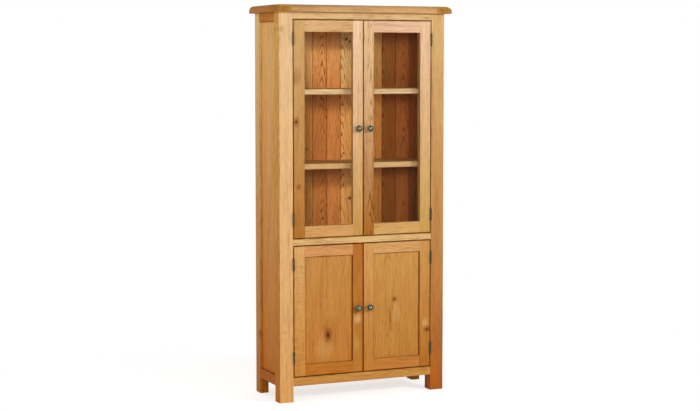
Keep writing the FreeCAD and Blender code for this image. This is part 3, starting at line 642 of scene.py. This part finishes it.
bump = add_node(tree, "Mix", {0: at_end, 4: long_bump, 5: cleat_bump}, data_type="VECTOR")
faces = add_node(tree, "SeparateXYZ", {0: coords.outputs["Normal"]})
# Painted light: the front-facing faces of the cleats take the paler tone
before = add_node(tree, "MapRange", {"Value": faces.outputs[1], "From Min": -0.2, "From Max": -0.6})
cleat_tone = add_node(tree, "Mix", {0: before.outputs[0], 6: linear("#b57526"), 7: linear("#bd8b42")},
                      data_type="RGBA")
tone = add_node(tree, "Mix", {0: at_end, 6: linear("#c29460"), 7: cleat_tone.outputs[2]}, data_type="RGBA")
oak_skin(tree, output, oak_colour(tree, tone.outputs[2], dark.outputs[0]), gloss.outputs[0], bump.outputs[1])
dress("top_board", material, 0)


# Door frames
# Each door is a frame of two stiles and two rails, mortised and tenoned flush at the front.
# The boards were not matched, so pale, amber and figured oak stand side by side.

# Painted shade along the outer edges of each door and on the side faces of its boards, where the gaps and
# reveals are
door_edge_width = 3.0
door_edge_shade = 0.9
door_cheek = 0.5
# Each board's tone below and above, one for both where it does not change, and how it was cut
# The upper tones are partly painted light, paler high up, and the pinkish upper tones of the upper doors are
# painted sheen
door_boards = {
    "upper_left_door_": {
        "hinge_stile": ("#ad6e29", "#c79e66", dict(
            figure=0.2, pith=(120, 50), cloud=0.25,
            marks=((-15, 34.5, 7, 1.3, 0.5, 0.9), (-12, 237, 8, 2.0, 0.35, 0.0),
                   (-1.4, -259, 5, 1.2, 0.4, 0.3)))),
        "meeting_stile": ("#c2924a", "#e4bd98", dict(cloud=0.1)),
        "top_rail": ("#cca26f", None, dict(cloud=0.3, streak=1.2)),
        "bottom_rail": ("#cb985b", None, dict(streak=1.1)),
    },
    "upper_right_door_": {
        "hinge_stile": ("#bf954b", "#deb792", dict(ripple=0.12, cloud=0.12)),
        "meeting_stile": ("#a0601c", "#d7b184", dict(figure=0.8, pith=(10, 16), taper=0.05, cloud=0.5)),
        "top_rail": ("#d8ae8a", None, dict(streak=1.1)),
        "bottom_rail": ("#cb9c5c", None, dict(cloud=0.12)),
    },
    "lower_left_door_": {
        "hinge_stile": ("#c38438", "#d4a163", dict(ripple=0.55, cloud=0.15)),
        "meeting_stile": ("#b87830", "#b06a2b", dict(
            pith=(60, 40), cloud=0.35,
            marks=((1, -50, 7, 1.4, -0.8, 0.0), (-8, -165, 6, 3.0, -0.22, 0.0),
                   (-16, -8, 7, 1.6, 0.3, 0.0)))),
        "top_rail": ("#ca8f56", None, dict(streak=1.1)),
        "bottom_rail": ("#b66f28", None, dict(cloud=0.3, streak=1.1)),
    },
    "lower_right_door_": {
        "hinge_stile": ("#b26f27", "#c18c4a", dict(
            figure=0.2, pith=(-90, 40), cloud=0.3,
            marks=((14, -123, 7, 0.8, 0.6, 0.9), (2, -92, 6, 1.4, -0.5, 0.0)))),
        "meeting_stile": ("#bc7932", "#cb9354", {}),
        "top_rail": ("#cf9b60", None, dict(cloud=0.3, streak=1.2)),
        "bottom_rail": ("#bc7736", None, dict(cloud=0.3, streak=1.1)),
    },
}
for door, members in door_boards.items():
    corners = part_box(door + "hinge_stile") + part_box(door + "meeting_stile")
    first = Vector([min(corner[i] for corner in corners) for i in range(3)])
    last = Vector([max(corner[i] for corner in corners) for i in range(3)])
    for member, (low, high, cut) in members.items():
        lie = "upright" if "stile" in member else "across"
        oak_board(door + member, lie, low, high, edge=(first, last, (0, 2), door_edge_width, door_edge_shade),
                  cheek=door_cheek, **cut)


# Glazing
# A pane of clear float glass lies in the rebate of each upper door, held by mitred oak beads.
# Float glass is smooth and nearly colourless: it shows a faint mirror image over what lies behind.

smear_size = 40.0
smear_rough = 0.06
mirror_ior = 1.12
for hand in ("left", "right"):
    door = "upper_" + hand + "_door_"
    material, tree, output = new_material("float_glass_" + hand)
    smear = add_node(tree, "TexNoise", {"Vector": place_in_mm(tree), "Scale": 1 / smear_size, "Detail": 3.0})
    wiped = add_node(tree, "MapRange", {"Value": smear.outputs["Fac"], "To Min": 0.0, "To Max": smear_rough})
    clear = add_node(tree, "BsdfTransparent", {"Color": linear("#fafdfb")})
    mirror = add_node(tree, "BsdfGlossy", {"Color": (1, 1, 1, 1), "Roughness": wiped.outputs[0]})
    slant = add_node(tree, "Fresnel", {"IOR": mirror_ior})
    glass = add_node(tree, "MixShader", {0: slant.outputs[0], 1: clear.outputs[0], 2: mirror.outputs[0]})
    tree.links.new(glass.outputs[0], output.inputs[0])
    dress(door + "glass", material, 0)
    oak_board(door + "glazing_beads", "upright", "#d0a268", ease=0)


# Door panels
# A flat oak panel lies loose in the groove of each lower door.
# Its edges are painted darker, as shade where the frame stands before it.

oak_board("lower_left_door_panel", "upright", "#be7934", "#be8544", figure=0.15, pith=(160, 60), taper=0.03,
          marks=((-2.7, -119.5, 7, 1.9, 0.5, 1.0), (-2.7, -119.5, 18, 1.6, 0.15, 0.0),
                 (-20, -175, 16, 1.5, -0.3, 0.0)),
          edge=panel_edge_shade(0, "lower_left_door_hinge_stile", "lower_left_door_meeting_stile",
                          "lower_left_door_bottom_rail", "lower_left_door_top_rail"))
oak_board("lower_right_door_panel", "upright", "#bb7e37", "#c38d49", pith=(-40, 45), taper=0.05,
          marks=((-8, 26.5, 7, 1.0, 0.35, 1.0), (-28, -54, 4, 6.0, 0.35, 0.0),
                 (-2, -38, 9, 2.0, -0.3, 0.0)),
          edge=panel_edge_shade(0, "lower_right_door_meeting_stile", "lower_right_door_hinge_stile",
                          "lower_right_door_bottom_rail", "lower_right_door_top_rail"))


# Hinges
# Eight lift-off butt hinges of steel with an antique finish. Each leaf is let into post or stile and
# screwed there, and ends in a rolled knuckle with a turned finial. The lower knuckle holds the pin.

hinge_joints = {joint["child"]: joint for joint in frame["joints"]}
hinge_axis_x = hinge_joints["upper_right_door"]["pos_m"][0] * to_mm
hinge_axis_y = hinge_joints["upper_right_door"]["pos_m"][1] * to_mm
leaf_height = 50.0
leaf_thickness = 2.0
leaf_let_in = 0.5
leaf_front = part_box("upper_right_door_hinge_stile")[0].y * to_mm
leaf_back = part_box("hinge_frame_leaves")[1].y * to_mm
stile_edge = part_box("upper_right_door_hinge_stile")[1].x * to_mm
post_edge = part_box("front_post_right")[0].x * to_mm
# How far from the middle of the cupboard the outer face of a door's leaf and of a post's leaf lies
leaf_outside = {True: stile_edge - leaf_let_in + leaf_thickness, False: post_edge + leaf_let_in}
leaf_into_knuckle = 2.6
leaf_edge_round = 0.25
knuckle_radius = 4.0
knuckle_length = 24.85
knuckle_chamfer = 0.3
# The pin is tight in the post's knuckle and turns in the door's
pin_bores = {True: 2.05, False: 2.01}
knuckle_cap = 2.7
pin_depth = knuckle_length - knuckle_cap
finial_profile = ((knuckle_radius, 0.0), (knuckle_radius, 0.5), (2.9, 0.9), (2.9, 1.3), (3.5, 1.8),
                  (3.7, 2.5), (3.3, 3.3), (2.2, 4.0), (1.9, 4.4), (2.2, 4.8), (2.2, 5.4), (1.6, 6.1),
                  (0.0, 6.5))
finial_height = finial_profile[-1][1]
# Height of each screw above the bottom of its leaf, and its depth behind the leaf's front
leaf_screws = ((9.0, 5.5), (25.0, 11.5), (41.0, 5.5))
leaf_screw_radius = 2.6
leaf_screw_rise = 0.12


def add_part(form, part):
    """Adds a finished part to the bmesh of a whole piece."""
    mesh = bpy.data.meshes.new("part")
    part.to_mesh(mesh)
    part.free()
    form.from_mesh(mesh)
    bpy.data.meshes.remove(mesh)


def hinge_half(form, side, bottom, on_door):
    """One leaf with its knuckle and finial: on the door the upper knuckle, on the post the lower one."""
    corner_angle = 0.5
    centre = Vector(((leaf_outside[on_door] - leaf_thickness / 2) * side, (leaf_front + leaf_back) / 2,
                     bottom + leaf_height / 2))
    half = bmesh.new()
    bmesh.ops.create_cube(half, size=1 / to_mm, matrix=Matrix.LocRotScale(
        centre / to_mm, None, (leaf_thickness, leaf_back - leaf_front, leaf_height)))
    split = bottom + (leaf_height - knuckle_length if on_door else knuckle_length)
    bmesh.ops.bisect_plane(half, geom=half.verts[:] + half.edges[:] + half.faces[:],
                           plane_co=(0, 0, split / to_mm), plane_no=(0, 0, 1))
    front = [face for face in half.faces if face.normal.y < -0.9]
    rolled = [face for face in front if (face.calc_center_median().z * to_mm > split) == on_door]
    grown = bmesh.ops.extrude_face_region(half, geom=rolled)["geom"]
    bmesh.ops.delete(half, geom=rolled, context="FACES")
    bmesh.ops.translate(half, verts=[v for v in grown if isinstance(v, bmesh.types.BMVert)],
                        vec=(0, (hinge_axis_y + leaf_into_knuckle - leaf_front) / to_mm, 0))
    bmesh.ops.bevel(half, geom=[e for e in half.edges if e.calc_face_angle(0.0) > corner_angle],
                    offset=leaf_edge_round / to_mm, affect="EDGES", segments=2, profile=0.5, material=-1)
    sign = 1 if on_door else -1
    start = bottom + leaf_height / 2 + sign * (leaf_height / 2 - knuckle_length)
    bore = pin_bores[on_door]
    profile = [(0.0, pin_depth), (bore, pin_depth), (bore, 0.0), (knuckle_radius - knuckle_chamfer, 0.0),
               (knuckle_radius, knuckle_chamfer), (knuckle_radius, knuckle_length - knuckle_chamfer)]
    profile += [(r, knuckle_length + h) for r, h in finial_profile]
    foot = Vector((hinge_axis_x * side, hinge_axis_y, start)) / to_mm
    turned(half, profile, foot, (0, 0, sign), steps=28)
    close_form(half)
    add_part(form, half)


def screw_head(form, centre, facing, radius, rise):
    """Slotted head on a plate: two half discs that stand a little proud, and a slot between them with its
    floor painted dark as shade.
    """
    sunk = 0.1
    slot_half = radius * 0.16
    floor_radius = radius * 0.9
    floor_rise = rise * 0.3
    if "patina_and_shade" not in form.verts.layers.float:
        form.verts.layers.float.new("patina_and_shade")
    head = bmesh.new()
    patina_and_shade = head.verts.layers.float.new("patina_and_shade")
    bmesh.ops.create_circle(head, cap_ends=True, segments=20, radius=radius,
                            matrix=Matrix.Translation((0, 0, -sunk)))
    for side in (1, -1):
        bmesh.ops.bisect_plane(head, geom=head.verts[:] + head.edges[:] + head.faces[:],
                               plane_co=(0, side * slot_half, 0), plane_no=(0, 1, 0))
    slot = [face for face in head.faces if abs(face.calc_center_median().y) < slot_half]
    bmesh.ops.delete(head, geom=slot, context="FACES")
    grown = bmesh.ops.extrude_face_region(head, geom=head.faces[:])["geom"]
    bmesh.ops.translate(head, verts=[v for v in grown if isinstance(v, bmesh.types.BMVert)],
                        vec=(0, 0, sunk + rise))
    slot_floor = bmesh.ops.create_cone(
        head, cap_ends=True, segments=12, radius1=floor_radius, radius2=floor_radius,
        depth=sunk + floor_rise, matrix=Matrix.Translation((0, 0, (floor_rise - sunk) / 2)))
    # Painted shade: the floor of the slot is dark
    for vert in slot_floor["verts"]:
        vert[patina_and_shade] = 1.0
    turn = Vector(facing).to_track_quat("Z", "Y").to_matrix().to_4x4()
    bmesh.ops.transform(head, verts=head.verts[:],
                        matrix=Matrix.Translation(centre) @ turn @ Matrix.Scale(1 / to_mm, 4))
    bmesh.ops.recalc_face_normals(head, faces=head.faces[:])
    add_part(form, head)


def hinge_screws(form, side, bottom, on_door):
    """Three screws through one leaf, on the face that shows when the door stands open."""
    face = leaf_outside[on_door] if on_door else leaf_outside[on_door] - leaf_thickness
    for height, depth in leaf_screws:
        centre = Vector((face * side, leaf_front + depth, bottom + height)) / to_mm
        screw_head(form, centre, (side if on_door else -side, 0, 0), leaf_screw_radius, leaf_screw_rise)


# An antique finish on steel looks nearly black, with a brown tinge and lighter crests
hinge_steel = aged_metal("antique_steel_hinge", "#3d392b", "#575140", "#231c12", blotch_size=5.0,
                         rough=0.45)
doors = ("upper_left", "upper_right", "lower_left", "lower_right")
post_leaves = bmesh.new()
post_screws = bmesh.new()
for door in doors:
    body = door + "_door"
    side = -1 if "left" in door else 1
    low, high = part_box(body + "_hinge_leaves")
    door_leaves = bmesh.new()
    door_screws = bmesh.new()
    for bottom in (low.z * to_mm, high.z * to_mm - finial_height - leaf_height):
        hinge_half(post_leaves, side, bottom, False)
        hinge_half(door_leaves, side, bottom, True)
        hinge_screws(post_screws, side, bottom, False)
        hinge_screws(door_screws, side, bottom, True)
    leaves = smooth_mesh(door_leaves, "turned_hinge_" + door, hinge_steel)
    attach(leaves, body)
    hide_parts(body + "_hinge_leaves")
    screws = smooth_mesh(door_screws, "hinge_screws_" + door, hinge_steel)
    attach(screws, body)
leaves = smooth_mesh(post_leaves, "turned_hinges_on_posts", hinge_steel)
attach(leaves, "carcass")
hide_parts("hinge_frame_leaves")
screws = smooth_mesh(post_screws, "hinge_screws_on_posts", hinge_steel)
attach(screws, "carcass")
dress("hinge_pins", hinge_steel, 0)


# Knobs
# Four turned knobs of cast metal with a dark pewter finish: a domed centre, a groove and a raised ring.
# A bolt from inside the door holds each one.

knob_sharp = 60
knob_profile = ((0.0, 0.0), (8.5, 0.0), (8.5, 1.2), (8.0, 1.9), (6.4, 3.6), (6.0, 5.5), (6.0, 8.0),
                (6.8, 9.8), (9.0, 11.6), (12.0, 13.4), (14.6, 14.9), (15.7, 16.0), (16.0, 17.2),
                (15.7, 18.4), (14.8, 19.3), (13.7, 19.5), (12.7, 19.0), (12.2, 18.0), (11.5, 17.6),
                (10.9, 18.2), (10.5, 19.6), (9.6, 21.4), (8.0, 23.1), (5.6, 24.3), (2.8, 24.9), (0.0, 25.0))
groove_from = 10.3
groove_to = 12.9
groove_above = 17
groove_dull = 0.95
neck_below = 12
neck_dull = 0.6
# A pewter finish is grey with a warm tinge, rubbed bright on dome and ring and dull in groove and neck
pewter = aged_metal("antique_pewter_knob", "#5d5b48", "#827e69", "#2a2418", blotch_size=4.0, rough=0.3)
knob_centres = {}
for door in doors:
    body = door + "_door"
    low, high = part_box(body + "_knob")
    centre = Vector(((low.x + high.x) / 2, high.y, (low.z + high.z) / 2))
    knob_centres[door] = centre
    form = bmesh.new()
    turned(form, knob_profile, centre, (0, -1, 0), steps=56)
    close_form(form)
    patina_and_shade = form.verts.layers.float.new("patina_and_shade")
    for vert in form.verts:
        radius = math.hypot(vert.co.x - centre.x, vert.co.z - centre.z) * to_mm
        rise = (centre.y - vert.co.y) * to_mm
        in_groove = groove_from < radius < groove_to and rise > groove_above
        vert[patina_and_shade] = groove_dull if in_groove else neck_dull if rise < neck_below else 0.0
    knob = smooth_mesh(form, "turned_knob_" + door, pewter, knob_sharp)
    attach(knob, body)
    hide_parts(body + "_knob")


# Catches
# A magnetic catch is screwed on the middle floor behind each upper door's meeting stile, and another
# below it for the lower door. Each door carries a steel strike plate and the bolt of its knob.

strike_half_height = 8.0 / to_mm
strike_thickness = 1.0 / to_mm
# Radius of each head and how far it stands proud
strike_screw = (2.6, 0.15)
bolt_head = (4.2, 0.4)
catch_screw = (2.6, 0.2)
# Zinc plating gives a pale grey, cloudy shine
zinc_steel = aged_metal("zinc_plated_steel", "#737577", "#8d8f91", "#2e2d2c", blotch_size=3.0, rough=0.4)
for door in doors:
    body = door + "_door"
    dress(body + "_fittings", zinc_steel, 0)
    low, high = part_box(body + "_fittings")
    bolt = knob_centres[door].copy()
    bolt.y = high.y
    # The strike plate is the lowest fitting of an upper door and the highest of a lower one
    strike = bolt.copy()
    strike.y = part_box(body + "_meeting_stile")[1].y + strike_thickness
    strike.z = low.z + strike_half_height if "upper" in door else high.z - strike_half_height
    form = bmesh.new()
    screw_head(form, bolt, (0, 1, 0), *bolt_head)
    screw_head(form, strike, (0, 1, 0), *strike_screw)
    screws = smooth_mesh(form, "fitting_screws_" + door, zinc_steel)
    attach(screws, body)

# The catch is brown moulded plastic with a dull, finely grained skin, and its pole, which stands out in
# front, is bare steel. The grain of about 0.1 mm is too fine to show, so it is drawn 0.5 mm wide.
pole_proud = 0.6
pole_shows = 0.5
plastic_grain = 0.5
catches_low, catches_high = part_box("magnetic_catches")
material, tree, output = new_material("moulded_plastic_catch_with_steel_pole")
place = place_in_mm(tree)
apart = add_node(tree, "SeparateXYZ", {0: place})
pole = add_node(tree, "Math", {0: apart.outputs[1], 1: catches_low.y * to_mm + pole_shows},
                operation="LESS_THAN")
grainy = add_node(tree, "TexNoise", {"Vector": place, "Scale": 1 / plastic_grain, "Detail": 3.0})
tint = add_node(tree, "Mix", {0: grainy.outputs["Fac"], 6: linear("#4a3020"), 7: linear("#5c3d28")},
                data_type="RGBA")
both = add_node(tree, "Mix", {0: pole.outputs[0], 6: tint.outputs[2], 7: linear("#7d7f81")},
                data_type="RGBA")
bump = add_node(tree, "Bump", {"Height": grainy.outputs["Fac"], "Strength": 0.1, "Distance": 0.0002})
skin = add_node(tree, "BsdfPrincipled", {"Base Color": both.outputs[2], "Metallic": pole.outputs[0],
                                         "Roughness": 0.45, "Normal": bump.outputs[0]})
tree.links.new(skin.outputs[0], output.inputs[0])
dress("magnetic_catches", material, 0)

# The screws show at the free end of each catch, on both sides of its middle
catch_screw_offset = 10.0 / to_mm
catch_middle = (catches_low.y + pole_proud / to_mm + catches_high.y) / 2
form = bmesh.new()
for end, up in ((catches_high.z, 1), (catches_low.z, -1)):
    for door in ("upper_left", "upper_right"):
        for offset in (-catch_screw_offset, catch_screw_offset):
            centre = Vector((knob_centres[door].x + offset, catch_middle, end))
            screw_head(form, centre, (0, 0, up), *catch_screw)
screws = smooth_mesh(form, "catch_screws", zinc_steel)
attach(screws, "carcass")


# Room
# A plain white floor takes the cupboard's shadow, with white all round. A soft light stands high in
# front on the camera's side, a small lamp to the right and a fill to the left.


def seen_directly(tree):
    """1 for rays that show a thing itself or its mirror image, 0 for rays that only carry its light."""
    path = add_node(tree, "LightPath")
    seen = path.outputs["Is Camera Ray"]
    for ray in ("Is Transmission Ray", "Is Glossy Ray"):
        seen = add_node(tree, "Math", {0: seen, 1: path.outputs[ray]}, operation="MAXIMUM").outputs[0]
    return seen


floor_size = 60
shadow_near = 0.5
shadow_far = 1.8
bpy.ops.mesh.primitive_plane_add(size=floor_size)
floor = bpy.context.object
floor.name = "floor"
# White paper, lifted towards pure white away from the cupboard, so only the shadow near it shows
material, tree, output = new_material("white_paper_floor")
coords = add_node(tree, "TexCoord")
away = add_node(tree, "VectorMath", {0: coords.outputs["Object"]}, operation="LENGTH")
fade = add_node(tree, "MapRange", {"Value": away.outputs["Value"], "From Min": shadow_near,
                                   "From Max": shadow_far}, interpolation_type="SMOOTHSTEP")
white = add_node(tree, "BsdfDiffuse", {"Color": (0.8, 0.8, 0.8, 1)})
lift = add_node(tree, "Emission", {"Color": (1, 1, 1, 1), "Strength": 0.6})
lit = add_node(tree, "AddShader", {0: white.outputs[0], 1: lift.outputs[0]})
glow = add_node(tree, "Emission", {"Color": (1, 1, 1, 1), "Strength": 1.0})
soft = add_node(tree, "MixShader", {0: fade.outputs[0], 1: lit.outputs[0], 2: glow.outputs[0]})
shown = add_node(tree, "MixShader", {0: seen_directly(tree), 1: white.outputs[0], 2: soft.outputs[0]})
tree.links.new(shown.outputs[0], output.inputs[0])
floor.data.materials.append(material)

world = bpy.data.worlds.new("room")
bpy.context.scene.world = world
world.use_nodes = True
tree = world.node_tree
tree.nodes.clear()
backdrop = add_node(tree, "Background", {"Color": (1, 1, 1, 1), "Strength": 1.0})
# The room's own light is stronger from behind than from the front, and stronger level than from above
coords = add_node(tree, "TexCoord")
aim = add_node(tree, "SeparateXYZ", {0: coords.outputs["Generated"]})
behind = add_node(tree, "MapRange", {"Value": aim.outputs[1], "From Min": -0.1, "From Max": 0.6,
                                     "To Min": 0.4, "To Max": 0.9}, interpolation_type="SMOOTHSTEP")
above = add_node(tree, "MapRange", {"Value": aim.outputs[2], "To Min": 1.0, "To Max": 0.5})
brightness = add_node(tree, "Math", {0: behind.outputs[0], 1: above.outputs[0]}, operation="MULTIPLY")
ambient = add_node(tree, "Background", {"Color": (1, 1, 1, 1), "Strength": brightness.outputs[0]})
room = add_node(tree, "MixShader", {0: seen_directly(tree), 1: ambient.outputs[0], 2: backdrop.outputs[0]})
add_node(tree, "OutputWorld", {0: room.outputs[0]})

# Each lamp's place, width and height in metres, and its power in watts
lamps = (
    ("front_softbox", (-2.9, -8.1, 2.8), (3.2, 1.6), 226),
    ("right_lamp", (3.4, -4.6, 2.9), (0.5, 0.5), 140),
    ("left_fill", (-5.2, -2.4, 2.0), (2.4, 2.0), 55),
)
lamp_target = Vector((0, 0, 1.0))
for name, location, size, power in lamps:
    light = bpy.data.lights.new(name, "AREA")
    light.shape = "RECTANGLE"
    light.size = size[0]
    light.size_y = size[1]
    light.energy = power
    lamp = bpy.data.objects.new(name, light)
    lamp.location = location
    lamp.rotation_euler = (lamp_target - lamp.location).to_track_quat("-Z", "Y").to_euler()
    bpy.context.scene.collection.objects.link(lamp)

bpy.context.scene.view_settings.view_transform = "Standard"
sensor_width = 36.0
photo_width = 700
focal_length = 1587.2  # In pixels of the photo
tilt_down = 4.37
turn_right = 23.80
frame_shift = -0.03
camera_place = (-2.986, -6.7615, 1.538)
camera_data = bpy.data.cameras.new("camera")
camera_data.sensor_width = sensor_width
camera_data.lens = sensor_width * focal_length / photo_width
camera_data.shift_y = frame_shift
camera = bpy.data.objects.new("camera", camera_data)
camera.location = camera_place
camera.rotation_euler = (math.radians(90 - tilt_down), 0, math.radians(-turn_right))
bpy.context.scene.collection.objects.link(camera)
bpy.context.scene.camera = camera
